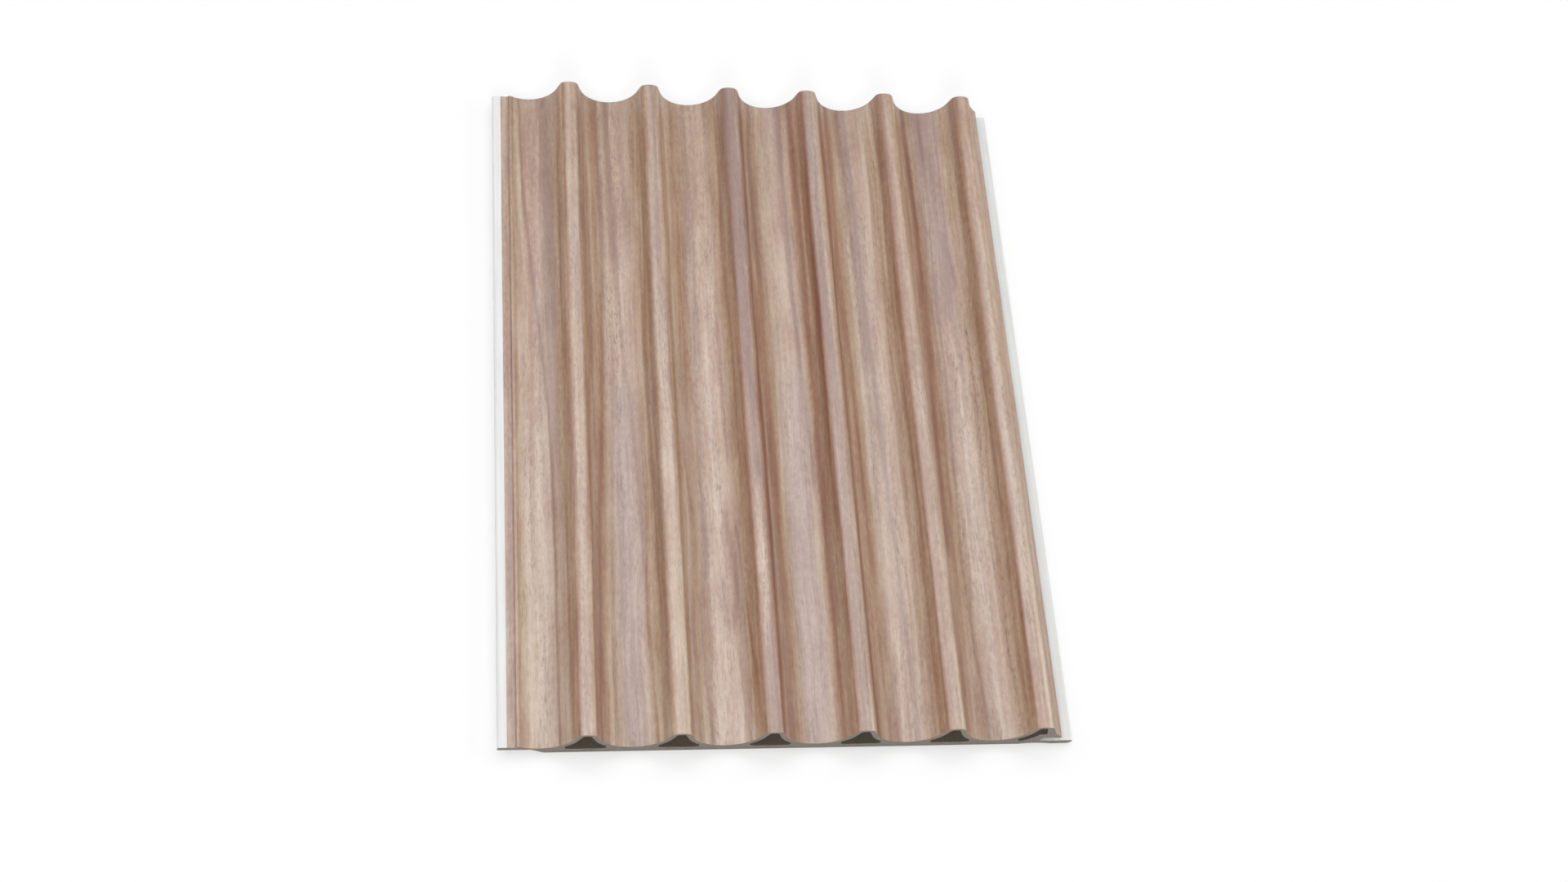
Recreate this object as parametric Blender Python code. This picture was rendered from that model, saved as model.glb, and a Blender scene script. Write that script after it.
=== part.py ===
"""Wavy wall panel: one length of hollow extruded profile, cut square at both ends.

Six hollow ribs stand between concave flutes. The left edge is a tongue over a rebate, and the
right edge is a groove over a fixing lip, so that panels lap and lock side by side with the ribs
at an even pitch across the joint.

The section is drawn in the X, Z plane and runs along Y. The panel lies on its flat back, with its
wavy face up. The origin is at the centre of its base. All sizes are in metres.
"""

import math

import bpy

# The wavy face. A rib's waist is the gap between the circles of the two flutes beside it.
# A slope is measured from the flat back.
RIB_COUNT = 6
RIB_PITCH = 0.025
RIB_WAIST = 0.0060
PANEL_LENGTH = 0.212
PANEL_HEIGHT = 0.0133
FLOOR_THICKNESS = 0.0034
FLANK_SLOPE = math.radians(70.0)
SHOULDER_RADIUS = 0.0020
CROWN_SLOPE = math.radians(20.0)

# The walls round the hollow ribs
RIB_WALL = 0.0015
CROWN_WALL = 0.0011
WEB_THICKNESS = 0.0026
CHAMBER_TOP_RADIUS = 0.0008
CHAMBER_FOOT_RADIUS = 0.0012

# The joint between neighbouring panels, which cuts an edge flute at an angle from its deepest line
JOINT_ANGLE = math.radians(38.4)
JOINT_CLEARANCE = 0.00015
TONGUE_LENGTH = 0.0050
TONGUE_TIP_RADIUS = 0.0007
EDGE_RADIUS = 0.00055
NOSE_RADIUS = 0.0003
GROOVE_END_GAP = 0.0005
GROOVE_FLOOR_DROP = 0.0002
GROOVE_CORNER_RADIUS = 0.0005
LIP_LENGTH = 0.0039
LIP_THICKNESS = 0.0023
LIP_TOP_RADIUS = 0.0003
LIP_UNDER_RADIUS = 0.0015
RAMP_WIDTH = 0.0034
RAMP_CORNER_RADIUS = 0.0010

# The block that parts the last rib's chamber from the groove
BLOCK_HEIGHT_OVER_GROOVE = 0.0030
BLOCK_TOP_WIDTH = 0.0018
BLOCK_CORNER_RADIUS = 0.0004
BLOCK_SIDE_SLOPE = math.radians(77.0)

# The shallow hollow in the back, under the last rib
RELIEF_WIDTH = 0.0090
RELIEF_DEPTH = 0.0006

# An arc leaves its true curve by no more than this
CHORD_TOLERANCE = 0.000003

# Sizes, heights and places that follow, with flute 0's centre line at x = 0
QUARTER_TURN = math.pi / 2
FLUTE_RADIUS = (RIB_PITCH - RIB_WAIST) / 2
FLUTE_CENTRE_Z = FLOOR_THICKNESS + FLUTE_RADIUS
REBATE_Z = LIP_THICKNESS + JOINT_CLEARANCE
JOINT_OFFSET = FLUTE_RADIUS * math.sin(JOINT_ANGLE)
LEFT_JOINT_X = -JOINT_OFFSET
RIGHT_JOINT_X = RIB_COUNT * RIB_PITCH - JOINT_OFFSET
TONGUE_TIP_X = LEFT_JOINT_X - TONGUE_LENGTH
LIP_TIP_X = RIGHT_JOINT_X + LIP_LENGTH
GROOVE_ROOT_X = RIGHT_JOINT_X - TONGUE_LENGTH - GROOVE_END_GAP
LAST_RIB_X = (RIB_COUNT - 0.5) * RIB_PITCH
SECTION_CENTRE_X = (TONGUE_TIP_X + LIP_TIP_X) / 2


def arc(centre, radius, start, end):
    """Points from one angle to another round a centre, as many as the chord tolerance asks for."""
    step = 2 * math.acos(1 - CHORD_TOLERANCE / radius)
    count = max(2, math.ceil(abs(end - start) / step))
    points = []
    for i in range(count + 1):
        angle = start + (end - start) * i / count
        points.append((centre[0] + radius * math.cos(angle), centre[1] + radius * math.sin(angle)))
    return points


def fillet(before, corner, after, radius):
    """The arc that rounds a corner between two straight edges."""
    towards_before = math.atan2(before[1] - corner[1], before[0] - corner[0])
    towards_after = math.atan2(after[1] - corner[1], after[0] - corner[0])
    opening = (towards_after - towards_before + math.pi) % (2 * math.pi) - math.pi
    side = math.copysign(QUARTER_TURN, opening)
    reach = radius / math.sin(abs(opening) / 2)
    bisector = towards_before + opening / 2
    centre = (corner[0] + reach * math.cos(bisector), corner[1] + reach * math.sin(bisector))
    start = towards_before - side
    turn = opening - math.copysign(math.pi, opening)
    return arc(centre, radius, start, start + turn)


def mirrored(points, axis_x):
    """The same points on the other side of a vertical line, in the opposite order."""
    return [(2 * axis_x - x, z) for x, z in reversed(points)]


def rib_x(index):
    return (index + 0.5) * RIB_PITCH


def round_flute(index, radius, start, end):
    """An arc about a flute's centre, by angles from straight down that grow towards +X."""
    centre = (index * RIB_PITCH, FLUTE_CENTRE_Z)
    return arc(centre, radius, start - QUARTER_TURN, end - QUARTER_TURN)


def crown_radius():
    """The crown's radius that lets a straight flank, a shoulder and the crown join smoothly."""
    run = RIB_PITCH / 2 - FLUTE_RADIUS * math.sin(FLANK_SLOPE)
    run -= SHOULDER_RADIUS * (math.sin(FLANK_SLOPE) - math.sin(CROWN_SLOPE))
    rise = PANEL_HEIGHT - FLOOR_THICKNESS - FLUTE_RADIUS * (1 - math.cos(FLANK_SLOPE))
    rise -= SHOULDER_RADIUS * (math.cos(CROWN_SLOPE) - math.cos(FLANK_SLOPE))
    across = math.sin(FLANK_SLOPE) * math.sin(CROWN_SLOPE)
    up = math.cos(FLANK_SLOPE) * (1 - math.cos(CROWN_SLOPE))
    return (rise * math.cos(FLANK_SLOPE) - run * math.sin(FLANK_SLOPE)) / (up - across)


def rib_top(index):
    """A rib's left shoulder, crown and right shoulder. Straight flanks join them to the flutes."""
    radius = crown_radius()
    reach = radius - SHOULDER_RADIUS
    crown_centre = (rib_x(index), PANEL_HEIGHT - radius)
    shoulder_x = crown_centre[0] - reach * math.sin(CROWN_SLOPE)
    shoulder_z = crown_centre[1] + reach * math.cos(CROWN_SLOPE)
    crown_start = QUARTER_TURN + CROWN_SLOPE
    flank_end = QUARTER_TURN + FLANK_SLOPE
    half = arc((shoulder_x, shoulder_z), SHOULDER_RADIUS, flank_end, crown_start)
    half += arc(crown_centre, radius, crown_start, QUARTER_TURN)
    return half + mirrored(half, rib_x(index))


def edge_angle():
    """The angle on flute 0's arc where the round edge above the tongue takes over."""
    return math.asin((JOINT_OFFSET - EDGE_RADIUS) / (FLUTE_RADIUS + EDGE_RADIUS))


def nose_angle():
    """The angle on the last flute's arc where the nose above the groove takes over."""
    return math.asin((JOINT_OFFSET + NOSE_RADIUS) / (FLUTE_RADIUS + NOSE_RADIUS))


def wavy_face():
    """The face from flute 0's left end, over every rib, to the nose beside the last rib."""
    points = round_flute(0, FLUTE_RADIUS, -edge_angle(), FLANK_SLOPE)
    for index in range(RIB_COUNT):
        is_last = index == RIB_COUNT - 1
        end = -nose_angle() if is_last else FLANK_SLOPE
        points += rib_top(index)
        points += round_flute(index + 1, FLUTE_RADIUS, -FLANK_SLOPE, end)
    return points


def nose():
    """The rounded foot of the last flank, over the groove's mouth."""
    reach = FLUTE_RADIUS + NOSE_RADIUS
    z = FLUTE_CENTRE_Z - reach * math.cos(nose_angle())
    return arc((RIGHT_JOINT_X - NOSE_RADIUS, z), NOSE_RADIUS, QUARTER_TURN - nose_angle(), 0.0)


def tongue_top_z():
    """The height of the tongue's top, which is that of the round edge's centre."""
    return FLUTE_CENTRE_Z - (FLUTE_RADIUS + EDGE_RADIUS) * math.cos(edge_angle())


def tongue():
    """From the rebate's ramp, round the tongue's tip and back up onto flute 0's left end."""
    seat_end_x = LEFT_JOINT_X + LIP_LENGTH + JOINT_CLEARANCE
    back = (LAST_RIB_X, 0.0)
    ramp_foot = (seat_end_x + RAMP_WIDTH, 0.0)
    ramp_top = (seat_end_x, REBATE_Z)
    tip_low = (TONGUE_TIP_X, REBATE_Z)
    tip_high = (TONGUE_TIP_X, tongue_top_z())
    joint_foot = (LEFT_JOINT_X, tongue_top_z())
    tip_radius = min(TONGUE_TIP_RADIUS, (tongue_top_z() - REBATE_Z) / 2)
    edge_centre = (LEFT_JOINT_X + EDGE_RADIUS, tongue_top_z())
    points = fillet(back, ramp_foot, ramp_top, RAMP_CORNER_RADIUS)
    points += fillet(ramp_foot, ramp_top, tip_low, RAMP_CORNER_RADIUS)
    points += fillet(ramp_top, tip_low, tip_high, tip_radius)
    points += fillet(tip_low, tip_high, joint_foot, tip_radius)
    return points + arc(edge_centre, EDGE_RADIUS, math.pi, QUARTER_TURN + edge_angle())


def groove_top_z():
    return tongue_top_z() + JOINT_CLEARANCE


def groove_and_lip():
    """From the nose into the groove, out along the lip and round its edge to the back.

    The groove's floor is a little lower than the lip, so the next panel's rebate bears on the lip
    and its tongue hangs free.
    """
    floor_z = LIP_THICKNESS - GROOVE_FLOOR_DROP
    above_mouth = (RIGHT_JOINT_X, PANEL_HEIGHT)
    mouth = (RIGHT_JOINT_X, groove_top_z())
    root_high = (GROOVE_ROOT_X, groove_top_z())
    root_low = (GROOVE_ROOT_X, floor_z)
    step_foot = (RIGHT_JOINT_X, floor_z)
    step_top = (RIGHT_JOINT_X + GROOVE_FLOOR_DROP, LIP_THICKNESS)
    lip_high = (LIP_TIP_X, LIP_THICKNESS)
    lip_low = (LIP_TIP_X, 0.0)
    back = (LAST_RIB_X, 0.0)
    points = fillet(above_mouth, mouth, root_high, NOSE_RADIUS)
    points += fillet(mouth, root_high, root_low, GROOVE_CORNER_RADIUS)
    points += fillet(root_high, root_low, step_foot, GROOVE_CORNER_RADIUS)
    points += [step_foot, step_top]
    points += fillet(step_top, lip_high, lip_low, LIP_TOP_RADIUS)
    return points + fillet(lip_high, lip_low, back, LIP_UNDER_RADIUS)


def back_relief():
    """The shallow hollow in the back under the last rib, from right to left."""
    half = RELIEF_WIDTH / 2
    radius = (half ** 2 + RELIEF_DEPTH ** 2) / (2 * RELIEF_DEPTH)
    spread = math.asin(half / radius)
    centre = (LAST_RIB_X, RELIEF_DEPTH - radius)
    return arc(centre, radius, QUARTER_TURN - spread, QUARTER_TURN + spread)


def outer_outline():
    return wavy_face() + nose() + groove_and_lip() + back_relief() + tongue()


def chamber_top_z(left, right, right_slope):
    """The height of a chamber's top, whose sides rise from two points and lean together.

    The crown's wall sets it, or else the height where both top corners still have their radius.
    """
    closing = 1 / math.tan(FLANK_SLOPE) + 1 / math.tan(right_slope)
    corners = CHAMBER_TOP_RADIUS * (math.tan(FLANK_SLOPE / 2) + math.tan(right_slope / 2))
    width_at_back = right[0] - left[0] + left[1] / math.tan(FLANK_SLOPE)
    width_at_back += right[1] / math.tan(right_slope)
    return min(PANEL_HEIGHT - CROWN_WALL, (width_at_back - corners) / closing)


def foot_angle():
    """The angle on a flute's arc where the round foot of the chamber beside it is centred."""
    reach = FLUTE_RADIUS + RIB_WALL + CHAMBER_FOOT_RADIUS
    return math.acos((FLUTE_CENTRE_Z - WEB_THICKNESS - CHAMBER_FOOT_RADIUS) / reach)


def foot_centre(index):
    reach = FLUTE_RADIUS + RIB_WALL + CHAMBER_FOOT_RADIUS
    x = index * RIB_PITCH + reach * math.sin(foot_angle())
    return (x, WEB_THICKNESS + CHAMBER_FOOT_RADIUS)


def chamber_side(index):
    """A chamber's left side, round its foot and up along the flute to where the flank begins."""
    turn = QUARTER_TURN + foot_angle()
    points = arc(foot_centre(index), CHAMBER_FOOT_RADIUS, 3 * QUARTER_TURN, turn)
    return points + round_flute(index, FLUTE_RADIUS + RIB_WALL, foot_angle(), FLANK_SLOPE)


def chamber_corner(foot, slope, top_z):
    """Where a straight side that leans at a slope from its foot meets a chamber's top."""
    return (foot[0] + (top_z - foot[1]) / math.tan(slope), top_z)


def chamber(index):
    """The hollow in a rib: both sides follow the flutes and a flat web closes it below."""
    side = chamber_side(index)
    flank_foot = side[-1]
    opposite_foot = (2 * rib_x(index) - flank_foot[0], flank_foot[1])
    top_z = chamber_top_z(flank_foot, opposite_foot, FLANK_SLOPE)
    corner = chamber_corner(flank_foot, FLANK_SLOPE, top_z)
    half = side + fillet(flank_foot, corner, (rib_x(index), top_z), CHAMBER_TOP_RADIUS)
    return half + mirrored(half, rib_x(index))


def last_chamber():
    """The hollow in the last rib, cut short on its right by the block over the groove.

    The block's left side runs parallel to the flute and its foot is a full round.
    """
    index = RIB_COUNT - 1
    side = chamber_side(index)
    flank_foot = side[-1]
    block_z = groove_top_z() + BLOCK_HEIGHT_OVER_GROOVE
    block_side_radius = FLUTE_RADIUS + RIB_WALL + 2 * CHAMBER_FOOT_RADIUS
    reach = block_side_radius + BLOCK_CORNER_RADIUS
    corner_angle = math.acos((FLUTE_CENTRE_Z - block_z + BLOCK_CORNER_RADIUS) / reach)
    corner_x = index * RIB_PITCH + reach * math.sin(corner_angle)
    corner_centre = (corner_x, block_z - BLOCK_CORNER_RADIUS)
    block_left = (corner_x, block_z)
    block_right = (corner_x + BLOCK_TOP_WIDTH, block_z)
    top_z = chamber_top_z(flank_foot, block_right, BLOCK_SIDE_SLOPE)
    top_left = chamber_corner(flank_foot, FLANK_SLOPE, top_z)
    top_right = chamber_corner(block_right, -BLOCK_SIDE_SLOPE, top_z)
    corner_end = QUARTER_TURN + corner_angle
    foot_turn = foot_angle() - QUARTER_TURN
    points = side + fillet(flank_foot, top_left, top_right, CHAMBER_TOP_RADIUS)
    points += fillet(top_left, top_right, block_right, CHAMBER_TOP_RADIUS)
    points += fillet(top_right, block_right, block_left, BLOCK_CORNER_RADIUS)
    points += arc(corner_centre, BLOCK_CORNER_RADIUS, QUARTER_TURN, corner_end)
    points += round_flute(index, block_side_radius, corner_angle, foot_angle())
    return points + arc(foot_centre(index), CHAMBER_FOOT_RADIUS, foot_turn, -QUARTER_TURN)


def without_repeats(points):
    """Drop a point that repeats the one before it, where two arcs meet."""
    kept = []
    for i, point in enumerate(points):
        if math.dist(point, points[i - 1]) > CHORD_TOLERANCE:
            kept.append(point)
    return kept


def add_loop(curve, points):
    """Add one closed outline to the section, centred on the panel's width."""
    loop = without_repeats(points)
    spline = curve.splines.new("POLY")
    spline.points.add(len(loop) - 1)
    for slot, (x, z) in zip(spline.points, loop):
        slot.co = (x - SECTION_CENTRE_X, z, 0.0, 1.0)
    spline.use_cyclic_u = True


def film_material():
    """The satin wood-grain finish of the wavy face."""
    material = bpy.data.materials.new("woodgrain_film")
    material.use_nodes = True
    shader = material.node_tree.nodes["Principled BSDF"]
    shader.inputs["Base Color"].default_value = (0.46, 0.34, 0.27, 1.0)
    shader.inputs["Roughness"].default_value = 0.5
    shader.inputs["Metallic"].default_value = 0.0
    return material


def wall_panel(collection):
    """The whole profile: the outline and its chambers, drawn flat and extruded along Y."""
    curve = bpy.data.curves.new("wall_panel", "CURVE")
    curve.dimensions = "2D"
    curve.fill_mode = "BOTH"
    curve.extrude = PANEL_LENGTH / 2
    add_loop(curve, outer_outline())
    for index in range(RIB_COUNT - 1):
        add_loop(curve, chamber(index))
    add_loop(curve, last_chamber())
    curve.materials.append(film_material())
    panel = bpy.data.objects.new("wall_panel", curve)
    panel.rotation_euler = (QUARTER_TURN, 0.0, 0.0)
    collection.objects.link(panel)
    return panel


def main():
    for leftover in list(bpy.data.objects):
        bpy.data.objects.remove(leftover)
    collection = bpy.data.collections.new("wavy_wall_panel")
    bpy.context.scene.collection.children.link(collection)
    wall_panel(collection)


main()
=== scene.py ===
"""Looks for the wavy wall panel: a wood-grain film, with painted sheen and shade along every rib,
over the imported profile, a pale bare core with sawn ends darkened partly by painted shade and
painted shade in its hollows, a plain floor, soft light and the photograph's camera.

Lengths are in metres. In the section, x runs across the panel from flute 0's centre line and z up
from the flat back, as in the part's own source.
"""

import math
import random

import bmesh
import bpy
import numpy
from mathutils import Matrix, Vector, noise


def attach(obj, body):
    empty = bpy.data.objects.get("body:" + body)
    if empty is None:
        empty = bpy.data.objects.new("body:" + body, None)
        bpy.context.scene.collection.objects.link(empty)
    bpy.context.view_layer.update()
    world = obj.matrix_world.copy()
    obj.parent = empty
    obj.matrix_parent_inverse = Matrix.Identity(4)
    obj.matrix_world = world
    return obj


MM = 0.001
TO_MM = 1 / MM
QUARTER = math.pi / 2

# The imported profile's face, which the film lies on
RIB_COUNT = 6
PITCH = 25.0 * MM
FLUTE_RADIUS = 9.5 * MM
FLOOR_THICKNESS = 3.4 * MM
FLUTE_Z = FLOOR_THICKNESS + FLUTE_RADIUS
PANEL_HEIGHT = 13.3 * MM
PANEL_LENGTH = 212.0 * MM
FLANK = math.radians(70.0)
SHOULDER_RADIUS = 2.0 * MM
CROWN = math.radians(20.0)
JOINT_ANGLE = math.radians(38.4)
JOINT_OFFSET = FLUTE_RADIUS * math.sin(JOINT_ANGLE)
EDGE_RADIUS = 0.55 * MM
NOSE_RADIUS = 0.3 * MM
TONGUE_LENGTH = 5.0 * MM
LIP_LENGTH = 3.9 * MM
JOINT_CLEARANCE = 0.15 * MM
LEFT_JOINT = -JOINT_OFFSET
RIGHT_JOINT = RIB_COUNT * PITCH - JOINT_OFFSET
MIDDLE = (LEFT_JOINT - TONGUE_LENGTH + RIGHT_JOINT + LIP_LENGTH) / 2

# The film: how far it stands off the face and is let into it, where it starts on the tongue, how
# far it runs into the groove, and the inner corner beside the tongue, rounder than the solid's so
# that the step there is a soft crease
FILM_PROUD = 0.03 * MM
FILM_SUNK = 0.05 * MM
FILM_START = LEFT_JOINT - 2.4 * MM
FILM_INTO_GROOVE = 0.9 * MM
INNER_CORNER = 1.4 * MM
# The film's mesh: rows along the panel, how far each kind of arc turns from point to point, the
# parts of its two flat runs, and the shortest step kept
FILM_ROWS = 60
FLUTE_TURN = math.radians(2.0)
SHOULDER_TURN = math.radians(7.0)
CROWN_TURN = math.radians(3.0)
EDGE_TURN = math.radians(10.0)
TONGUE_PARTS = 6
GROOVE_PARTS = 3
SHORTEST_STEP = 0.004 * MM
# How far its two ends stop short of the sawn ends, in mm: the random walk's seed, its first value,
# its longest step from point to point, and the least and the most it may be
TRIM_SEED = 7
TRIM_FIRST = 0.015
TRIM_CHANGE = 0.01
TRIM_LEAST = 0.005
TRIM_MOST = 0.03
# Where its faces lie on its texture map, from low to high: the margin at both sides, the top, the
# underside, and where the thin strips for the two ends and the two side edges begin
MAP_MARGIN = 0.002
MAP_TOP = (0.002, 0.94)
MAP_UNDER = (0.945, 0.965)
MAP_ENDS = (0.97, 0.978)
MAP_SIDES = (0.986, 0.993)
MAP_THIN = 0.005

# The printed figure, stroke by stroke, as it runs in the photograph; the first two strokes also
# paint shade on the step beside the tongue. A stroke has its centre line, as (place across in rib
# pitches with rib 1 at 1, place along in mm), its half width in mm, how much lighter it is (darker
# below zero), and how much greyer.
STROKES = (
    # Left edge and flute 0: the first two strokes, along the step beside the tongue, are partly the
    # flecks' grey band and partly painted shade
    (((0.23, 100), (0.24, 40), (0.22, -40), (0.24, -106)), 0.8, -0.10, 0.35),
    (((0.278, 115), (0.278, -115)), 0.8, -0.10, 0.30),
    (
        ((0.38, 110), (0.43, 70), (0.52, 45), (0.60, 20), (0.67, -5), (0.71, -50), (0.74, -110)),
        0.40, -0.26, 0.50,
    ),
    (((0.70, 110), (0.72, 60), (0.74, 20)), 2.2, -0.12, 0.25),
    (((0.40, 30), (0.42, -40), (0.40, -100)), 2.6, 0.10, 0.0),
    (((0.56, -10), (0.57, -60), (0.55, -110)), 2.4, 0.10, 0.05),
    (((0.47, -5), (0.48, -40), (0.46, -75)), 0.5, -0.08, 0.35),
    (((0.86, 110), (0.85, 40), (0.87, -30), (0.86, -110)), 0.9, -0.09, 0.0),
    # Rib 1 and flute 1
    (((0.96, 110), (0.97, 0), (0.96, -110)), 1.0, 0.10, 0.10),
    (((1.10, 110), (1.12, 20), (1.10, -110)), 1.2, -0.10, 0.0),
    (((1.22, 110), (1.23, 40), (1.22, 0)), 1.1, 0.10, 0.0),
    (
        ((1.34, 115), (1.36, 60), (1.33, 20), (1.29, -10), (1.22, -40), (1.17, -90)),
        0.9, -0.22, 0.05,
    ),
    (((1.46, 115), (1.48, 70), (1.52, 45)), 1.4, -0.26, 0.25),
    (((1.62, 100), (1.66, 65), (1.68, 45)), 1.1, -0.08, 0.40),
    (((1.53, 50), (1.60, 10), (1.66, -20), (1.73, -60), (1.78, -110)), 0.6, -0.18, 0.15),
    (((1.47, 25), (1.42, -10), (1.37, -50), (1.33, -110)), 0.6, -0.10, 0.25),
    (((1.53, 5), (1.53, -50), (1.52, -115)), 2.8, -0.06, 0.75),
    (((1.46, -25), (1.45, -60), (1.47, -115)), 0.35, -0.14, 0.40),
    (((1.57, -15), (1.55, -60), (1.58, -115)), 0.35, -0.13, 0.40),
    (((1.35, -30), (1.31, -60), (1.30, -110)), 1.0, 0.12, 0.0),
    (((1.80, 60), (1.83, 0), (1.84, -110)), 1.0, -0.14, 0.0),
    (((1.92, 110), (1.93, 0), (1.93, -110)), 0.9, 0.14, 0.10),
    # Rib 2 and flute 2
    (((2.03, 110), (2.02, 60), (2.07, -10), (2.06, -40)), 0.7, -0.10, 0.40),
    (((2.18, 110), (2.20, 0), (2.18, -110)), 2.2, 0.12, 0.0),
    (((2.36, 110), (2.37, 50)), 1.6, -0.08, 0.0),
    (
        ((2.46, 110), (2.47, 40), (2.42, 10), (2.39, -20), (2.42, -50), (2.37, -110)),
        0.7, -0.10, 0.30,
    ),
    (((2.58, 60), (2.56, 0), (2.60, -40)), 2.6, 0.12, 0.0),
    (((2.73, 110), (2.74, 60), (2.70, 20), (2.74, -20)), 0.8, -0.14, 0.25),
    (((2.66, -35), (2.71, -50), (2.73, -62), (2.66, -74)), 1.0, -0.22, 0.30),
    (((2.58, -55), (2.57, -72)), 0.9, -0.08, 0.45),
    (((2.52, -70), (2.50, -92), (2.47, -115)), 1.6, 0.18, 0.0),
    (((2.66, -72), (2.68, -92), (2.70, -115)), 1.4, 0.12, 0.0),
    (((2.76, -40), (2.82, -66), (2.86, -90), (2.88, -112)), 0.5, -0.18, 0.0),
    (((2.82, 110), (2.83, 60), (2.84, 0), (2.83, -40)), 0.9, -0.12, 0.0),
    # Rib 3 and flute 3
    (((2.99, 115), (2.99, 40), (3.01, -30)), 1.4, -0.24, 0.60),
    (((3.01, -45), (3.02, -65)), 1.2, 0.10, 0.0),
    (((3.00, -75), (3.00, -115)), 1.2, -0.12, 0.60),
    (((3.14, 115), (3.12, 60), (3.12, 0), (3.10, -115)), 2.4, -0.34, 0.0),
    (((3.27, 115), (3.26, 60), (3.25, 0), (3.27, -115)), 2.0, -0.16, 0.0),
    (((3.42, 90), (3.43, 40), (3.39, 0), (3.35, -40)), 1.0, 0.04, 0.0),
    (((3.56, 60), (3.58, 30)), 1.6, 0.10, 0.0),
    (((3.58, 10), (3.55, -40), (3.54, -115)), 3.0, 0.06, 0.65),
    (((3.65, 110), (3.66, 60), (3.66, 40), (3.69, 10), (3.72, -30)), 0.8, -0.20, 0.65),
    (((3.79, 115), (3.79, 40), (3.80, -40), (3.79, -115)), 1.5, -0.26, 0.0),
    (((3.88, 115), (3.89, 40), (3.88, -40), (3.87, -115)), 0.8, -0.30, 0.0),
    # Rib 4 and flute 4
    (((4.01, 110), (4.00, 40), (4.01, -20), (4.00, -115)), 1.5, -0.12, 0.60),
    (((4.16, 115), (4.17, 60), (4.15, 0), (4.14, -50), (4.17, -115)), 2.0, -0.28, 0.0),
    (((4.26, 115), (4.27, 50), (4.29, 0), (4.31, -50), (4.34, -115)), 0.9, -0.18, 0.0),
    (((4.37, 90), (4.39, 30), (4.42, -30)), 1.1, 0.08, 0.0),
    (((4.44, 110), (4.46, 55), (4.47, 45)), 0.6, -0.18, 0.10),
    (
        ((4.52, 115), (4.53, 80), (4.53, 55), (4.56, 20), (4.59, -20), (4.62, -60), (4.66, -115)),
        0.6, -0.16, 0.70,
    ),
    (((4.46, -20), (4.45, -60), (4.43, -110)), 0.8, -0.05, 0.30),
    (((4.68, 100), (4.69, 0), (4.73, -60)), 1.6, 0.12, 0.05),
    (((4.52, -40), (4.53, -80)), 1.2, 0.12, 0.10),
    (((4.87, 115), (4.88, 40), (4.87, -30), (4.86, -115)), 1.0, -0.22, 0.0),
    # Rib 5 and flute 5
    (((4.95, 110), (4.97, 20), (4.99, -30), (5.02, -110)), 0.7, -0.08, 0.25),
    (((5.13, 110), (5.15, 20), (5.12, -60)), 1.5, 0.18, 0.0),
    (((5.27, 115), (5.30, 80), (5.32, 55), (5.29, 20), (5.22, -15), (5.19, -50)), 1.5, -0.30, 0.0),
    (((5.38, 110), (5.42, 60), (5.40, 20), (5.33, -15), (5.30, -40)), 0.8, -0.12, 0.0),
    (((5.49, 106), (5.50, 88)), 1.3, -0.26, 0.0),
    (((5.62, 115), (5.62, 60), (5.60, 30)), 2.8, -0.10, 0.60),
    (
        ((5.45, 45), (5.46, 15), (5.41, -15), (5.38, -50), (5.40, -75), (5.48, -112)),
        0.6, -0.18, 0.25,
    ),
    (((5.65, 54), (5.70, 42)), 0.35, -0.28, 0.30),
    (((5.75, 30), (5.76, 0), (5.72, -40), (5.76, -80), (5.82, -112)), 0.5, -0.12, 0.40),
    (((5.60, 0), (5.58, -50), (5.60, -110)), 2.2, 0.10, 0.20),
    (((5.89, 115), (5.88, 60), (5.86, 0), (5.88, -110)), 0.8, -0.16, 0.0),
    # Rib 6 and the right edge
    (((5.99, 115), (6.00, 60)), 1.3, -0.10, 0.05),
    (((6.03, 0), (6.05, -30)), 0.8, -0.04, 0.45),
    (((6.10, 60), (6.11, 0), (6.10, -110)), 1.0, 0.06, 0.0),
    (((6.24, 115), (6.24, -115)), 1.0, -0.20, 0.15),
)
# Painted sheen and shade, alike on every rib and flute: lighter, greyer bands where the rib tops
# and flutes catch the light, and a darker, browner band just left of each rib's top. Place in rib
# pitches from the rib's top, half width in mm, how much lighter and how much greyer
PAINTED_SHEEN_AND_SHADE_BANDS = (
    (0.00, 1.6, 0.05, 0.35),
    (0.07, 1.0, 0.09, 0.00),
    (0.35, 2.0, 0.13, 0.05),
    (0.58, 3.6, 0.00, 0.42),
    (-0.26, 2.0, 0.12, 0.24),
    (-0.18, 1.4, 0.10, 0.00),
    (-0.075, 0.8, -0.20, -0.10),
)
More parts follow.
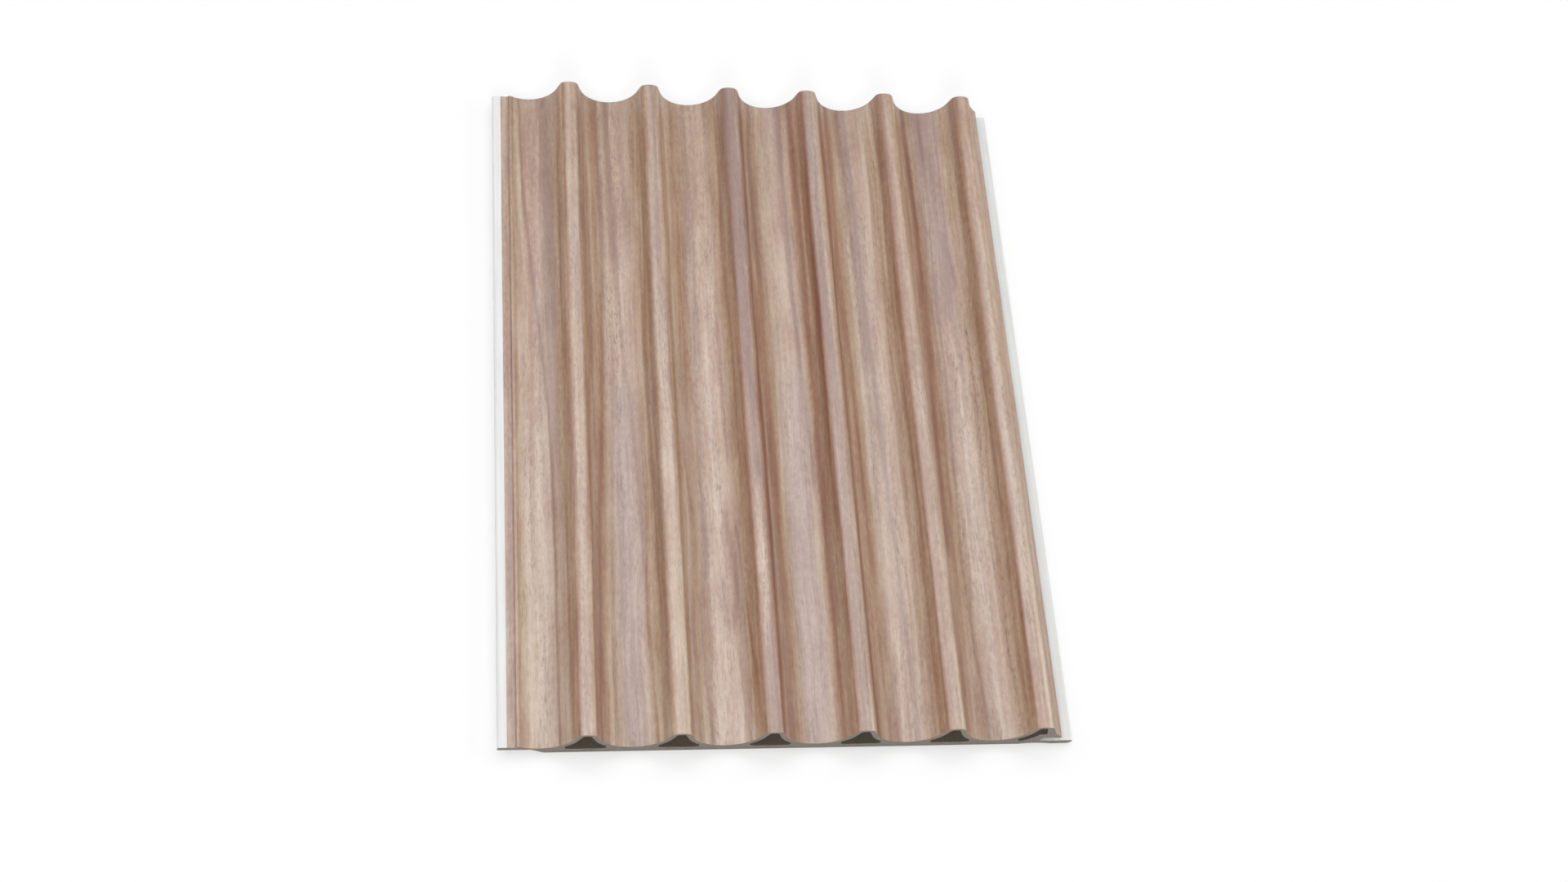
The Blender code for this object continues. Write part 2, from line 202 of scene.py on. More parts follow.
# Where short grey flecks crowd: centre line, half width in mm and how thickly
FLECKS = (
    (((0.22, 60), (0.21, -40), (0.23, -115)), 1.0, 1.0),
    (((0.50, 70), (0.55, 40)), 1.2, 0.7),
    (((0.44, -10), (0.45, -62)), 1.5, 0.9),
    (((0.56, 20), (0.57, -110)), 1.8, 0.8),
    (((0.97, 60), (0.98, -115)), 1.8, 0.8),
    (((1.50, 110), (1.50, 40), (1.52, -115)), 3.6, 1.0),
    (((1.98, 70), (2.03, -60)), 1.4, 0.5),
    (((2.47, 115), (2.44, 20), (2.42, -110)), 1.7, 1.0),
    (((2.63, 110), (2.64, 20), (2.58, -70)), 2.0, 0.8),
    (((3.00, 80), (3.01, -115)), 1.8, 0.8),
    (((3.50, 40), (3.47, -115)), 1.6, 0.4),
    (((4.00, 90), (4.01, -115)), 1.8, 0.6),
    (((4.45, 110), (4.47, -30)), 1.5, 1.0),
    (((4.60, 70), (4.64, -115)), 1.8, 0.8),
    (((5.02, 20), (5.03, -110)), 1.4, 0.6),
    (((5.47, 60), (5.42, -40), (5.44, -110)), 1.8, 0.9),
    (((5.62, 30), (5.60, -115)), 2.6, 0.8),
    (((5.75, 30), (5.78, -110)), 1.3, 0.9),
    (((6.03, 40), (6.03, -80)), 1.4, 0.9),
)
# Where rib 1's top lies in the section
RIB_ONE = 0.5 * PITCH
# A stroke fades out over this length at its ends, and a band of painted sheen and shade reaches
# this far each way, both in mm
STROKE_FADE = 9.0
BAND_REACH = 200
# Bands of painted sheen and shade are drawn from this many rib pitches past place 0 to as many past
# the last rib's top
BAND_MARGIN = 0.2
# The strokes' slight wander: its scales across and along, its seed, its size in mm, and at every
# how many points of the path it is worked out
WANDER_ACROSS = 0.22
WANDER_ALONG = 0.020
WANDER_SEED = 3.7
WANDER_SIZE = 0.7
WANDER_STRIDE = 8

# The film's noise fields: scale per mm across and along, seed, detail and roughness
FIELDS = {
    "sway": (0.035, 0.011, 11.3, 1.0, 0.5),
    "wander": (0.16, 0.035, 23.9, 1.0, 0.5),
    "broad": (0.17, 0.0035, 1.7, 2.0, 0.5),
    "medium": (0.58, 0.015, 4.1, 3.0, 0.50),
    "fine": (2.6, 0.045, 8.3, 3.0, 0.6),
    "cloud": (0.30, 0.060, 31.7, 3.0, 0.5),
    "mottle": (0.90, 0.42, 37.1, 3.0, 0.65),
    "patch": (0.33, 0.007, 47.2, 2.0, 0.5),
    "pore": (4.0, 0.30, 61.5, 1.0, 0.5),
    "crowd": (0.45, 0.03, 77.7, 2.0, 0.5),
    "fleck": (2.0, 0.50, 91.3, 2.0, 0.6),
}
# How far the grain's lines drift from side to side, in mm, in long sways and in short ones
SWAY = 7.0
SHORT_SWAY = 1.4
# The film's tone is the sum of its fields, stretched and set about the ramps' middle
TONE_CONTRAST = 1.13
TONE_SHIFT = -0.397
# The print's browns, and the greys that the print and the painted sheen mix with them, by tone, and
# its pores' colour
BROWNS = (
    (0.00, (121, 74, 54)),
    (0.25, (135, 86, 65)),
    (0.50, (161, 122, 96)),
    (0.75, (186, 160, 134)),
    (1.00, (208, 191, 172)),
)
GREYS = ((0.00, (116, 84, 73)), (0.50, (149, 120, 107)), (1.00, (193, 171, 159)))
PORE_COLOUR = (113, 89, 84)
# Between which values a field turns into a grey patch, a pore, a crowd of pores and a fleck
PATCH = (0.48, 0.70)
PORE = (0.56, 0.70)
CROWD = (0.44, 0.66)
FLECK = (0.53, 0.67)
# The most grey in a patch, and how strongly pores and flecks show
PATCH_GREY = 0.55
PORE_STRENGTH = 0.36
FLECK_STRENGTH = 0.42
# The film's emboss, its gloss, and how much of its gloss it loses where it is dull
EMBOSS = 0.05 * MM
FILM_ROUGHNESS = 0.32
COAT_ROUGHNESS = 0.30
COAT_WEIGHT = 0.9
COAT_LOSS = 0.8
DULL_ROUGHNESS = 0.20
FILM_SPECULAR = 1.0
# The normal's upward part below which the film is dull and above which it has its full gloss
DULL_BELOW = 0.55
GLOSSY_ABOVE = 0.88

# A face of the bare profile is a sawn end where its normal's part along the panel is over this
SAWN_ABOVE = 0.5
# It is a hollow's wall, which gets painted shade, in mm, this far from the flute's centre line,
# between these heights, and between these places across
HOLLOW_PAST = 10.4
HOLLOW_TOP = 12.5
HOLLOW_BASE = 2.55
HOLLOW_LEFT = 0.0
HOLLOW_RIGHT = 139.6
# The bare profile's colours: its extruded skin, its sawn ends, whose grey is partly grit and partly
# painted shade, and the painted shade on the hollows' walls
SKIN = ((0.25, (212, 212, 210)), (0.55, (226, 227, 227)), (0.8, (233, 234, 235)))
SAWN_GRIT_AND_PAINTED_SHADE = ((0.25, (104, 98, 90)), (0.5, (140, 133, 124)), (0.75, (164, 157, 148)))
HOLLOW_PAINTED_SHADE = ((0.3, (108, 98, 84)), (0.7, (136, 125, 109)))
# The grit of the sawn ends per metre, and the depth of the saw's marks
GRIT_SCALE = 2600.0
CUT_RELIEF = 0.06 * MM
SKIN_ROUGHNESS = 0.48
CUT_ROUGHNESS = 0.85
CORE_SPECULAR = 0.4

# Soft lamps around and above the panel: name, elevation and azimuth in degrees, and watts
LAMPS = (
    ("above right", 66, 0, 1.25),
    ("above far right", 66, 55, 1.06),
    ("above far left", 66, 120, 1.10),
    ("above left", 66, 180, 0.94),
    ("far right", 44, 45, 0.66),
    ("far", 46, 88, 0.46),
    ("far left", 48, 134, 0.70),
    ("left far", 33, 150, 0.52),
    ("left", 48, 180, 1.47),
    ("right", 26, 0, 2.75),
    ("near", 36, 265, 2.70),
    ("near left", 48, 225, 0.74),
)
LAMP_DISTANCE = 0.95
LAMP_SIZE = 0.36
WORLD_STRENGTH = 0.05
FLOOR_REACH = 6.0
# The share of plain white in the floor as the camera and its mirrored rays see it
FLOOR_WHITE = 0.55

# The photograph's camera, fitted to the rib tops, the flutes and the edges: the picture's width and
# the focal length in pixels, the sensor's width in mm, and angles in radians
IMAGE_WIDTH = 1920
FOCAL_PIXELS = 2486.52
SENSOR = 36.0
CAMERA_ELEVATION = 1.06735
CAMERA_AZIMUTH = -0.36178
CAMERA_ROLL = 0.32787
CAMERA_DISTANCE = 0.59774
CAMERA_TARGET = (0.00508, -0.01176, 0.0)


def srgb(red, green, blue):
    """A colour given in 0 to 255 steps, as the linear values that shaders use."""
    values = []
    for step in (red, green, blue):
        share = step / 255
        low = share / 12.92
        high = ((share + 0.055) / 1.055) ** 2.4
        values.append(low if share <= 0.04045 else high)
    return (*values, 1.0)


class Look:
    """One material's nodes, with short calls for the kinds used here."""

    def __init__(self, name):
        self.material = bpy.data.materials.new(name)
        self.material.use_nodes = True
        self.tree = self.material.node_tree
        self.shader = self.tree.nodes["Principled BSDF"]

    def feed(self, socket, value):
        if isinstance(value, bpy.types.NodeSocket):
            self.tree.links.new(value, socket)
        elif value is not None:
            socket.default_value = value

    def node(self, kind, **settings):
        made = self.tree.nodes.new(kind)
        for name, value in settings.items():
            setattr(made, name, value)
        return made

    def math(self, operation, first, second=None, third=None, clamp=False):
        made = self.node("ShaderNodeMath", operation=operation, use_clamp=clamp)
        for socket, value in zip(made.inputs, (first, second, third)):
            self.feed(socket, value)
        return made.outputs[0]

    def total(self, *terms):
        """A sum of (socket, weight) pairs."""
        value = 0.0
        for socket, weight in terms:
            value = self.math("MULTIPLY_ADD", socket, weight, value)
        return value

    def vector(self, x, y, z):
        made = self.node("ShaderNodeCombineXYZ")
        for socket, value in zip(made.inputs, (x, y, z)):
            self.feed(socket, value)
        return made.outputs[0]

    def split(self, vector):
        made = self.node("ShaderNodeSeparateXYZ")
        self.feed(made.inputs[0], vector)
        return made.outputs

    def noise(self, vector, detail, roughness=0.5, scale=1.0):
        made = self.node("ShaderNodeTexNoise")
        self.feed(made.inputs["Vector"], vector)
        made.inputs["Scale"].default_value = scale
        made.inputs["Detail"].default_value = detail
        made.inputs["Roughness"].default_value = roughness
        return made.outputs["Fac"]

    def between(self, value, low, high, out_low=0.0, out_high=1.0, smooth=True):
        """The value's place between two limits, from one output to the other."""
        kind = "SMOOTHSTEP" if smooth else "LINEAR"
        made = self.node("ShaderNodeMapRange", interpolation_type=kind)
        for socket, given in zip(made.inputs, (value, low, high, out_low, out_high)):
            self.feed(socket, given)
        return made.outputs[0]

    def ramp(self, value, stops):
        """A colour by value. Each stop is a place and a colour in 0 to 255 steps."""
        made = self.node("ShaderNodeValToRGB")
        elements = made.color_ramp.elements
        while len(elements) < len(stops):
            elements.new(1.0)
        for element, (place, colour) in zip(elements, stops):
            element.position = place
            element.color = srgb(*colour)
        self.feed(made.inputs[0], value)
        return made.outputs[0]

    def mix(self, share, first, second):
        made = self.node("ShaderNodeMix", data_type="RGBA")
        self.feed(made.inputs[0], share)
        self.feed(made.inputs[6], first)
        self.feed(made.inputs[7], second)
        return made.outputs[2]

    def bump(self, height, distance):
        made = self.node("ShaderNodeBump")
        made.inputs["Distance"].default_value = distance
        made.inputs["Strength"].default_value = 1.0
        self.feed(made.inputs["Height"], height)
        return made.outputs[0]

    def finish(self, colour, roughness, normal, specular):
        self.feed(self.shader.inputs["Base Color"], colour)
        self.feed(self.shader.inputs["Roughness"], roughness)
        self.feed(self.shader.inputs["Normal"], normal)
        self.shader.inputs["Specular IOR Level"].default_value = specular
        return self.material


def arc(centre, radius, start, end, step):
    """Points and outward normals along an arc of the path. A hollow arc's step is negative."""
    count = max(2, math.ceil(abs(end - start) / abs(step)))
    side = math.copysign(1.0, step)
    found = []
    for i in range(count + 1):
        angle = start + (end - start) * i / count
        direction = Vector((math.cos(angle), math.sin(angle)))
        found.append((Vector(centre) + radius * direction, side * direction))
    return found


def crown_radius():
    """The crown's radius, from the run and rise that the flank and shoulder leave it."""
    run = PITCH / 2 - FLUTE_RADIUS * math.sin(FLANK)
    run -= SHOULDER_RADIUS * (math.sin(FLANK) - math.sin(CROWN))
    rise = PANEL_HEIGHT - FLOOR_THICKNESS - FLUTE_RADIUS * (1 - math.cos(FLANK))
    rise -= SHOULDER_RADIUS * (math.cos(CROWN) - math.cos(FLANK))
    across = math.sin(FLANK) * math.sin(CROWN)
    up = math.cos(FLANK) * (1 - math.cos(CROWN))
    return (rise * math.cos(FLANK) - run * math.sin(FLANK)) / (up - across)


def flute(index, start, end):
    """A flute's hollow arc, between two slopes."""
    centre = (index * PITCH, FLUTE_Z)
    return arc(centre, FLUTE_RADIUS, start - QUARTER, end - QUARTER, -FLUTE_TURN)


def rib(index):
    """A rib's two shoulders and crown, from left to right."""
    x = (index + 0.5) * PITCH
    radius = crown_radius()
    reach = radius - SHOULDER_RADIUS
    z = PANEL_HEIGHT - radius
    run = reach * math.sin(CROWN)
    height = z + reach * math.cos(CROWN)
    up, down = QUARTER + CROWN, QUARTER - CROWN
    left = arc((x - run, height), SHOULDER_RADIUS, QUARTER + FLANK, up, SHOULDER_TURN)
    top = arc((x, z), radius, up, down, CROWN_TURN)
    right = arc((x + run, height), SHOULDER_RADIUS, down, QUARTER - FLANK, SHOULDER_TURN)
    return left + top + right


def edge_angle():
    """The slope at which the left edge's rounding meets flute 0."""
    return math.asin((JOINT_OFFSET - EDGE_RADIUS) / (FLUTE_RADIUS + EDGE_RADIUS))


def nose_angle():
    """The slope at which the right edge's nose meets the last flute."""
    return math.asin((JOINT_OFFSET + NOSE_RADIUS) / (FLUTE_RADIUS + NOSE_RADIUS))


def tongue_top():
    """The height of the tongue's flat top."""
    return FLUTE_Z - (FLUTE_RADIUS + EDGE_RADIUS) * math.cos(edge_angle())


def straight(start, end, normal, parts):
    """Points and one normal along a straight run of the film's path."""
    found = []
    for i in range(parts + 1):
        found.append((Vector(start).lerp(Vector(end), i / parts), Vector(normal)))
    return found


def film_path():
    """The film's path over the section: from the tongue's top, over the face, into the groove."""
    top = tongue_top()
    edge_x = LEFT_JOINT + EDGE_RADIUS
    reach = math.sqrt(EDGE_RADIUS**2 + 2 * EDGE_RADIUS * INNER_CORNER)
    lean = math.atan(INNER_CORNER / reach)
    corner = (edge_x - reach, top + INNER_CORNER)
    path = straight((FILM_START, top), (corner[0], top), (0, 1), TONGUE_PARTS)
    path += arc(corner, INNER_CORNER, -QUARTER, -lean, -EDGE_TURN)
    path += arc((edge_x, top), EDGE_RADIUS, math.pi - lean, QUARTER + edge_angle(), EDGE_TURN)
    path += flute(0, -edge_angle(), FLANK)
    for index in range(RIB_COUNT):
        path += rib(index)
        end = -nose_angle() if index == RIB_COUNT - 1 else FLANK
        path += flute(index + 1, -FLANK, end)
    nose_z = FLUTE_Z - (FLUTE_RADIUS + NOSE_RADIUS) * math.cos(nose_angle())
    centre_x = RIGHT_JOINT - NOSE_RADIUS
    mouth_z = top + JOINT_CLEARANCE
    path += arc((centre_x, nose_z), NOSE_RADIUS, QUARTER - nose_angle(), 0.0, EDGE_TURN)
    path += arc((centre_x, mouth_z + NOSE_RADIUS), NOSE_RADIUS, 0.0, -QUARTER, EDGE_TURN)
    inside = (RIGHT_JOINT - FILM_INTO_GROOVE, mouth_z)
    path += straight((centre_x, mouth_z), inside, (0, -1), GROOVE_PARTS)
    return without_repeats(path)


def without_repeats(path):
    """The path without points that fall on the one before."""
    kept = [path[0]]
    for point, normal in path[1:]:
        if (point - kept[-1][0]).length > SHORTEST_STEP:
            kept.append((point, normal))
    return kept


def print_with_painted_light(path, along, rows):
    """How much lighter, greyer and more flecked the film is, by row and point of the path: the
    print's strokes and flecks, and bands of painted sheen and shade on every rib.
    """
    across = numpy.array(along) / MM
    sections = numpy.array([point.x for point, _ in path])
    sparse = across[::WANDER_STRIDE]
    wander = []
    for y in rows:
        row = []
        for s in sparse:
            spot = Vector((s * WANDER_ACROSS, y * WANDER_ALONG, WANDER_SEED))
            row.append(noise.noise(spot) * WANDER_SIZE)
        wander.append(numpy.interp(across, sparse, row))
    wander = numpy.array(wander)

    def weight(line, half_width):
        """How strongly a stroke is felt, by row and point of the path."""
        line = sorted(line, key=lambda place: place[1])
        ends = [place[1] for place in line]
        centres = numpy.interp(
            [RIB_ONE + (place[0] - 1.0) * PITCH for place in line], sections, across
        )
        centre = numpy.interp(rows, ends, centres)
        inside = numpy.minimum(rows - ends[0], ends[-1] - rows) / STROKE_FADE + 0.5
        fade = numpy.clip(inside, 0.0, 1.0)
        fade = fade * fade * (3 - 2 * fade)
        off = (across[None, :] + wander - centre[:, None]) / half_width
        return numpy.exp(-off * off) * fade[:, None]

    marks = numpy.zeros((len(rows), len(path), 3))
    for line, half_width, lighter, greyer in STROKES:
        marks[:, :, :2] += weight(line, half_width)[:, :, None] * (lighter, greyer)
    # Bands of painted sheen and shade, the same on every rib and flute
    for place, half_width, lighter, greyer in PAINTED_SHEEN_AND_SHADE_BANDS:
        for index in range(RIB_COUNT + 1):
            line = ((index + place, -BAND_REACH), (index + place, BAND_REACH))
            if BAND_MARGIN < index + place < RIB_COUNT + BAND_MARGIN:
                marks[:, :, :2] += weight(line, half_width)[:, :, None] * (lighter, greyer)
    for line, half_width, thickly in FLECKS:
        marks[:, :, 2] += weight(line, half_width) * thickly
    return marks


def end_trims(count):
    """How far the film stops short of the near and of the far sawn end, by point of the path."""
    draw = random.Random(TRIM_SEED)
    trims = [[], []]
    for trim in trims:
        value = TRIM_FIRST
        for _ in range(count):
            value += draw.uniform(-TRIM_CHANGE, TRIM_CHANGE)
            value = min(max(value, TRIM_LEAST), TRIM_MOST)
            trim.append(value * MM)
    return trims


def film_side(made, path, along, marks, trims, offset):
    """Rows of vertices at one offset from the path, each with its place on the sheet and marks."""
    sheet = made.verts.layers.float_vector["sheet"]
    print_and_painted_light_layer = made.verts.layers.float_vector["print_and_painted_light"]
    rows = []
    for j in range(FILM_ROWS + 1):
        share = j / FILM_ROWS
        row = []
        for i, (point, normal) in enumerate(path):
            near = -PANEL_LENGTH / 2 + trims[0][i]
            far = PANEL_LENGTH / 2 - trims[1][i]
            y = near + (far - near) * share
            place = point + normal * offset
            vertex = made.verts.new((place.x - MIDDLE, y, place.y))
            vertex[sheet] = (along[i], y, offset)
            vertex[print_and_painted_light_layer] = marks[j, i]
            row.append(vertex)
        rows.append(row)
    return rows


def film_faces(made, top, under, along):
    """Faces over the film's two sides, then thin ones that close its ends and its side edges."""
    map_ = made.loops.layers.uv["OFBake"]
    last = len(along) - 1

    def face(corners, places, smooth=True):
        made_face = made.faces.new(corners)
        made_face.smooth = smooth
        for loop, place in zip(made_face.loops, places):
            loop[map_].uv = place

    def spread(share):
        return MAP_MARGIN + (1 - 2 * MAP_MARGIN) * share

    def at(band, i, j):
        low, high = band
        return (spread(along[i] / along[-1]), low + (high - low) * (j / FILM_ROWS))

    def edge_face(corners, start, end, low, flip):
        high = low + MAP_THIN
        places = [(start, low), (end, low), (end, high), (start, high)]
        if flip:
            corners.reverse()
            places.reverse()
        face(corners, places, False)

    for j in range(FILM_ROWS):
        for i in range(last):
            face(
                (top[j][i], top[j][i + 1], top[j + 1][i + 1], top[j + 1][i]),
                [at(MAP_TOP, *p) for p in ((i, j), (i + 1, j), (i + 1, j + 1), (i, j + 1))],
            )
            face(
                (under[j][i], under[j + 1][i], under[j + 1][i + 1], under[j][i + 1]),
                [at(MAP_UNDER, *p) for p in ((i, j), (i, j + 1), (i + 1, j + 1), (i + 1, j))],
            )
    for i in range(last):
        for j, low, flip in ((0, MAP_ENDS[0], False), (FILM_ROWS, MAP_ENDS[1], True)):
            corners = [under[j][i], under[j][i + 1], top[j][i + 1], top[j][i]]
            start, end = spread(along[i] / along[-1]), spread(along[i + 1] / along[-1])
            edge_face(corners, start, end, low, flip)
    for j in range(FILM_ROWS):
        for i, low, flip in ((0, MAP_SIDES[0], True), (last, MAP_SIDES[1], False)):
            corners = [under[j][i], under[j + 1][i], top[j + 1][i], top[j][i]]
            edge_face(corners, spread(j / FILM_ROWS), spread((j + 1) / FILM_ROWS), low, flip)


def film_piece(material):
    """A thin closed sheet along the path, a hair proud of the face and let into it below."""
    path = film_path()
    along = [0.0]
    for before, after in zip(path, path[1:]):
        along.append(along[-1] + (after[0] - before[0]).length)
    heights = numpy.linspace(-PANEL_LENGTH / 2, PANEL_LENGTH / 2, FILM_ROWS + 1) / MM
    marks = print_with_painted_light(path, along, heights)
    trims = end_trims(len(path))
    made = bmesh.new()
    made.verts.layers.float_vector.new("sheet")
    made.verts.layers.float_vector.new("print_and_painted_light")
    made.loops.layers.uv.new("OFBake")
    top = film_side(made, path, along, marks, trims, FILM_PROUD)
    under = film_side(made, path, along, marks, trims, -FILM_SUNK)
    film_faces(made, top, under, along)
    for edge in made.edges:
        edge.smooth = all(side.smooth for side in edge.link_faces)
    mesh = bpy.data.meshes.new("woodgrain_film")
    made.to_mesh(mesh)
    made.free()
    mesh.materials.append(material)
    film = bpy.data.objects.new("woodgrain_film", mesh)
    bpy.context.scene.collection.objects.link(film)
    return film


def film_look():
    """Printed grey-brown wood with a satin embossed surface, painted sheen and shade along every
    rib, and painted shade on the step beside the tongue. The grain runs along the panel.
    """
    look = Look("woodgrain_film_look")
    sheet = look.node("ShaderNodeAttribute", attribute_name="sheet").outputs["Vector"]
    across, along, _ = look.split(sheet)
    across = look.math("MULTIPLY", across, TO_MM)
    along = look.math("MULTIPLY", along, TO_MM)
    # The print's strokes and flecks with the painted sheen and shade: how much lighter, greyer and
    # flecked
    print_and_painted_light_values = look.node("ShaderNodeAttribute", attribute_name="print_and_painted_light").outputs["Vector"]
    lighter_with_painted_light, greyer_with_painted_light, flecked = look.split(print_and_painted_light_values)

    def field(name, x):
        x_scale, y_scale, seed, detail, roughness = FIELDS[name]
        place = look.vector(
            look.math("MULTIPLY", x, x_scale), look.math("MULTIPLY", along, y_scale), seed
        )
        return look.noise(place, detail, roughness)

    sway = field("sway", across)
    wander = field("wander", across)
    drifted = look.total((across, 1.0), (sway, SWAY), (wander, SHORT_SWAY))
    broad = field("broad", drifted)
    medium = field("medium", drifted)
    fine = field("fine", drifted)
    cloud = field("cloud", across)
    mottle = field("mottle", across)
    tone = look.total(
        (lighter_with_painted_light, 1.0), (broad, 0.30), (medium, 0.50), (fine, 0.24), (cloud, 0.38), (mottle, 0.36)
    )
    tone = look.math("MULTIPLY_ADD", tone, TONE_CONTRAST, TONE_SHIFT)

    brown = look.ramp(tone, BROWNS)
    grey = look.ramp(tone, GREYS)
    patch = field("patch", drifted)
    grain_ash = look.between(patch, *PATCH, 0.0, PATCH_GREY)
    # Greyer in the print's patches and strokes and under the painted sheen
    colour = look.mix(look.math("ADD", grain_ash, greyer_with_painted_light, clamp=True), brown, grey)

    # Fine pores, and short grey flecks where the print's own marks call for them
    pore = field("pore", drifted)
    crowd = field("crowd", drifted)
    crowd = look.total((crowd, 1.0), (flecked, 0.10))
    pores = look.math("MULTIPLY", look.between(pore, *PORE), look.between(crowd, *CROWD))
    fleck = field("fleck", drifted)
    place = look.total((flecked, 0.75), (crowd, 0.6))
    ticks = look.math("MULTIPLY", look.between(fleck, *FLECK), place)
    marks = look.total((pores, PORE_STRENGTH), (ticks, FLECK_STRENGTH))
    colour = look.mix(marks, colour, srgb(*PORE_COLOUR))

    relief = look.total((fine, 0.6), (pores, -0.8), (ticks, -0.4))
    normal = look.bump(relief, EMBOSS)
    # Drawn over the flanks, the film is duller than on the rib tops and in the flutes
    facing = look.split(look.node("ShaderNodeNewGeometry").outputs["Normal"])[2]
    dull = look.between(facing, DULL_BELOW, GLOSSY_ABOVE, 1.0, 0.0)
    roughness = look.total((fine, 0.16), (pores, 0.12), (dull, DULL_ROUGHNESS))
    roughness = look.math("ADD", roughness, FILM_ROUGHNESS)
    coat = look.math("MULTIPLY_ADD", dull, -COAT_LOSS, COAT_WEIGHT)
    look.feed(look.shader.inputs["Coat Weight"], coat)
    look.shader.inputs["Coat Roughness"].default_value = COAT_ROUGHNESS
    return look.finish(colour, roughness, normal, FILM_SPECULAR)


def core_look():
    """The bare profile: pale extruded skin, sawn ends grey partly from grit and partly from painted
    shade, and painted shade on the hollows' walls.
    """
    look = Look("profile_core_look")
    place = look.node("ShaderNodeTexCoord").outputs["Object"]
    place_x, place_y, place_z = look.split(place)
    x = look.math("MULTIPLY_ADD", place_x, TO_MM, MIDDLE / MM)
    y = look.math("MULTIPLY", place_y, TO_MM)
    z = look.math("MULTIPLY", place_z, TO_MM)
    normal_y = look.split(look.node("ShaderNodeNewGeometry").outputs["Normal"])[1]
    sawn = look.math("GREATER_THAN", look.math("ABSOLUTE", normal_y), SAWN_ABOVE)

    # The hollows' walls, which get painted shade, lie further from the nearest flute's centre than
    # its face does
    flute_x = look.math("WRAP", x, PITCH / MM / 2, -PITCH / MM / 2)
    rise = look.math("SUBTRACT", z, FLUTE_Z / MM)
    flute_square = look.math("MULTIPLY", flute_x, flute_x)
    rise_square = look.math("MULTIPLY", rise, rise)
    gap = look.math("SQRT", look.total((flute_square, 1.0), (rise_square, 1.0)))
    inside = look.math("GREATER_THAN", gap, HOLLOW_PAST)
    for value, kind, limit in (
        (z, "LESS_THAN", HOLLOW_TOP),
        (z, "GREATER_THAN", HOLLOW_BASE),
        (x, "GREATER_THAN", HOLLOW_LEFT),
        (x, "LESS_THAN", HOLLOW_RIGHT),
    ):
        inside = look.math("MULTIPLY", inside, look.math(kind, value, limit))

    def streaks(x_scale, y_scale, z_scale):
        scaled = []
        for value, scale in ((x, x_scale), (y, y_scale), (z, z_scale)):
            scaled.append(look.math("MULTIPLY", value, scale))
        return look.noise(look.vector(*scaled), 3.0)

    # Die lines and scuffs run along the extruded skin. The cut ends have a saw's strokes and grit,
    # on a grey that is partly painted shade
    die = streaks(2.2, 0.012, 2.2)
    scuff = streaks(0.5, 0.06, 1.0)
    skin = look.ramp(look.total((die, 0.6), (scuff, 0.4)), SKIN)
    stroke = streaks(0.25, 0.0, 5.0)
    grit = look.noise(place, 4.0, 0.6, GRIT_SCALE)
    # The sawn ends' grey: partly their grit, partly painted shade
    sawn_grit_and_painted_shade = look.ramp(look.total((stroke, 0.45), (grit, 0.55)), SAWN_GRIT_AND_PAINTED_SHADE)
    # Painted shade on the hollows' walls
    hollow_painted_shade = look.ramp(grit, HOLLOW_PAINTED_SHADE)
    colour = look.mix(sawn, look.mix(inside, skin, hollow_painted_shade), sawn_grit_and_painted_shade)
    roughness = look.between(sawn, 0.0, 1.0, SKIN_ROUGHNESS, CUT_ROUGHNESS, False)
    height = look.math("MULTIPLY", look.total((stroke, 0.5), (grit, 0.5)), sawn)
    height = look.math("MULTIPLY_ADD", die, 0.25, height)
    return look.finish(colour, roughness, look.bump(height, CUT_RELIEF), CORE_SPECULAR)


def floor_look():
    """A plain pale floor that the camera sees as nearly white, with the panel's shadow kept."""
    look = Look("floor_look")
    look.feed(look.shader.inputs["Base Color"], (0.90, 0.90, 0.90, 1.0))
    look.shader.inputs["Roughness"].default_value = 0.9
    look.shader.inputs["Specular IOR Level"].default_value = 0.2
    glow = look.node("ShaderNodeEmission")
    glow.inputs["Color"].default_value = (1.0, 1.0, 1.0, 1.0)
    ray = look.node("ShaderNodeLightPath").outputs
    seen = look.math("MAXIMUM", ray["Is Camera Ray"], ray["Is Glossy Ray"])
    seen = look.math("MAXIMUM", seen, ray["Is Transmission Ray"])
    blend = look.node("ShaderNodeMixShader")
    look.feed(blend.inputs[0], look.math("MULTIPLY", seen, FLOOR_WHITE))
    look.feed(blend.inputs[1], look.shader.outputs[0])
    look.feed(blend.inputs[2], glow.outputs[0])
    look.feed(look.tree.nodes["Material Output"].inputs[0], blend.outputs[0])
    return look.material


def floor():
    """A wide plain floor under the panel."""
    mesh = bpy.data.meshes.new("floor")
    low, high = -FLOOR_REACH, FLOOR_REACH
    corners = [(low, low, 0.0), (high, low, 0.0), (high, high, 0.0), (low, high, 0.0)]
    mesh.from_pydata(corners, [], [(0, 1, 2, 3)])
    mesh.materials.append(floor_look())
    piece = bpy.data.objects.new("floor", mesh)
    bpy.context.scene.collection.objects.link(piece)


def lamp(name, elevation, azimuth, watts):
    """A soft round lamp aimed at the panel. Azimuth 0 is on the right and 90 behind the far end."""
    up, turn = math.radians(elevation), math.radians(azimuth)
    level = LAMP_DISTANCE * math.cos(up)
    place = Vector((level * math.cos(turn), level * math.sin(turn), LAMP_DISTANCE * math.sin(up)))
    data = bpy.data.lights.new(name, "AREA")
    data.shape = "DISK"
    data.size = LAMP_SIZE
    data.energy = watts
    piece = bpy.data.objects.new(name, data)
    piece.location = place
    piece.rotation_euler = (-place).to_track_quat("-Z", "Y").to_euler()
    bpy.context.scene.collection.objects.link(piece)


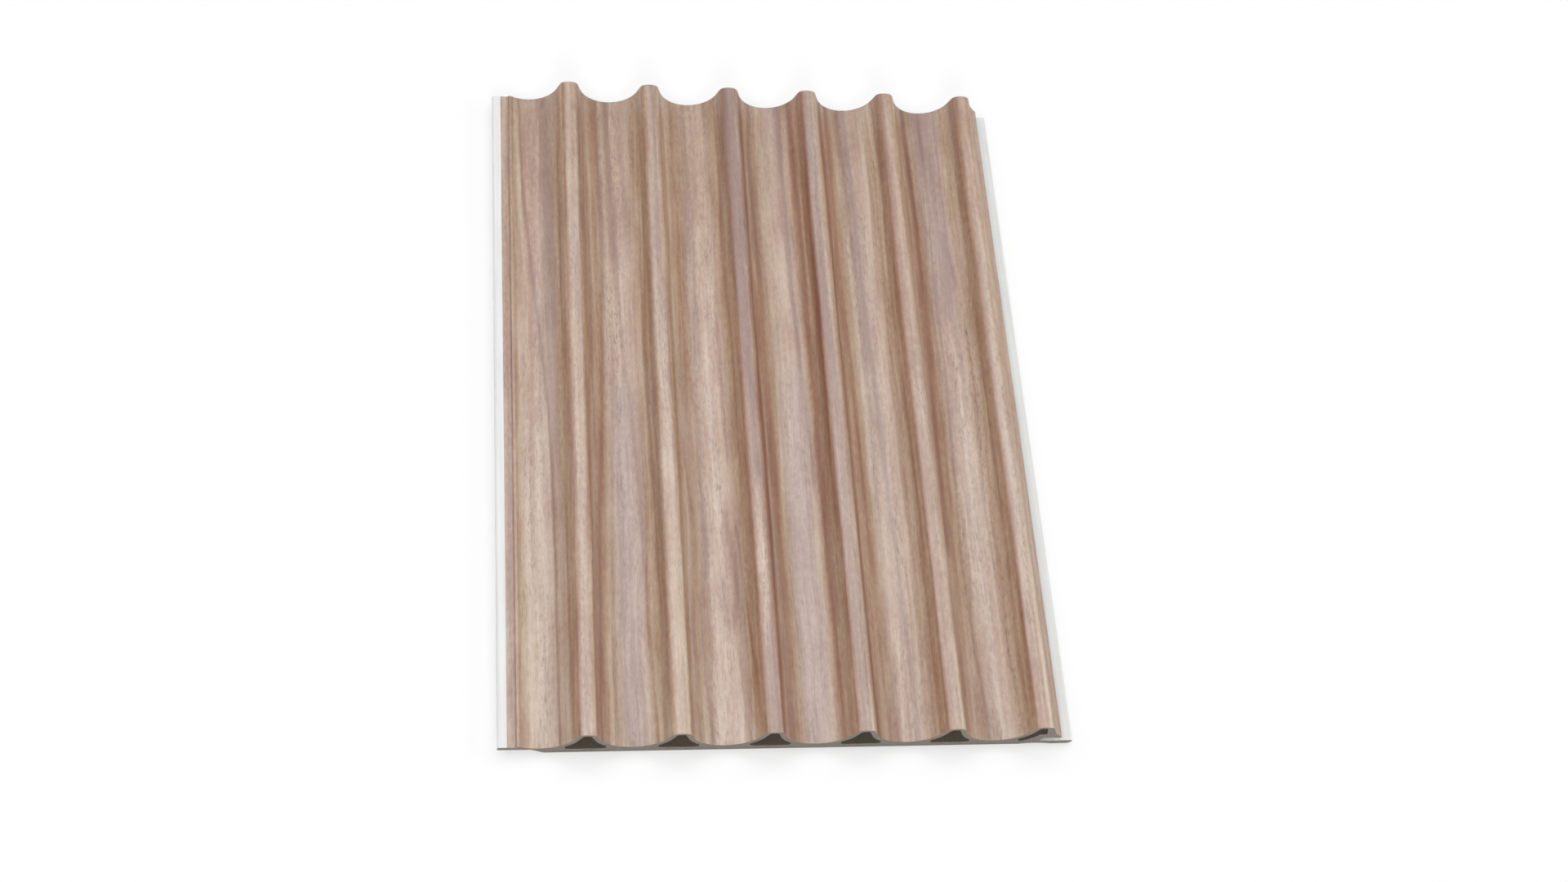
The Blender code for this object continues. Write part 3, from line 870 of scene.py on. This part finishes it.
def lights():
    """A faint white world, and the lamps around the panel."""
    world = bpy.data.worlds.new("studio")
    world.use_nodes = True
    world.node_tree.nodes["Background"].inputs[0].default_value = (1.0, 1.0, 1.0, 1.0)
    world.node_tree.nodes["Background"].inputs[1].default_value = WORLD_STRENGTH
    bpy.context.scene.world = world
    for name, elevation, azimuth, watts in LAMPS:
        lamp(name, elevation, azimuth, watts)


def camera():
    """The photograph's view: where it stands, where it looks, and how far it is rolled."""
    azimuth, elevation = CAMERA_AZIMUTH, CAMERA_ELEVATION
    back = Vector((
        math.sin(azimuth) * math.cos(elevation),
        -math.cos(azimuth) * math.cos(elevation),
        math.sin(elevation),
    ))
    right = (-back).cross(Vector((0, 0, 1))).normalized()
    up = right.cross(-back)
    turned_right = math.cos(CAMERA_ROLL) * right + math.sin(CAMERA_ROLL) * up
    turned_up = math.cos(CAMERA_ROLL) * up - math.sin(CAMERA_ROLL) * right
    place = Vector(CAMERA_TARGET) + back * CAMERA_DISTANCE
    data = bpy.data.cameras.new("camera")
    data.sensor_width = SENSOR
    data.lens = FOCAL_PIXELS / IMAGE_WIDTH * SENSOR
    data.clip_start = 0.01
    data.clip_end = 50.0
    piece = bpy.data.objects.new("camera", data)
    axes = Matrix((turned_right, turned_up, back)).transposed()
    piece.matrix_world = Matrix.Translation(place) @ axes.to_4x4()
    bpy.context.scene.collection.objects.link(piece)
    bpy.context.scene.camera = piece


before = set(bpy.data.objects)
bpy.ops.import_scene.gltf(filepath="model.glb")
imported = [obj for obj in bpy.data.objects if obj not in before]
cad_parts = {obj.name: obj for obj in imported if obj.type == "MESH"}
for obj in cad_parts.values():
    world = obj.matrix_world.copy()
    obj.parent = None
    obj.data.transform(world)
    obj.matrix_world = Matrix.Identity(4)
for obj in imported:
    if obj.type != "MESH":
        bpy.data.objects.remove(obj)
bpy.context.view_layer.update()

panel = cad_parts["wall_panel"]
panel.material_slots[0].material = core_look()
film = film_piece(film_look())
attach(film, "root")

floor()
lights()
camera()
bpy.context.scene.view_settings.view_transform = "Standard"
